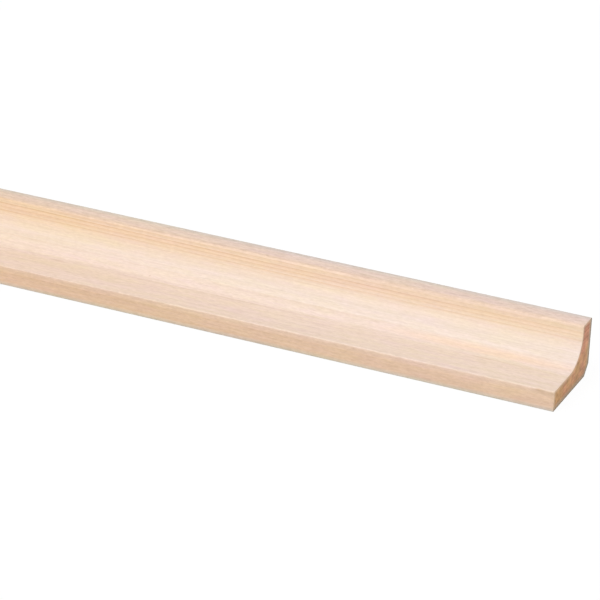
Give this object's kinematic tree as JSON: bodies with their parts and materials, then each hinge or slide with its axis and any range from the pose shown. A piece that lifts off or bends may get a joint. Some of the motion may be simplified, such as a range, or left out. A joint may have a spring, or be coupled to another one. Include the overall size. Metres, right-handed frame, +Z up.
{
  "type": "cornice moulding",
  "caption": "Long straight pine cornice moulding with an L-shaped coved section and a bevelled back corner, trimming the joint between wall and ceiling.",
  "frame": {"origin": "middle of the bottom of the box: half way along the length, half way between the front lip and the wall face, on the ceiling face that it lies on", "axes": "+X along the length, +Y out of the wall face so the coved face looks towards -Y, +Z up out of the ceiling leg"},
  "size_m": [2.4, 0.044, 0.027],
  "materials": {
    "planed_pine": "planed, unfinished"
  },
  "bodies": {
    "root": {"cornice_moulding": "planed_pine"}
  },
  "joints": []
}
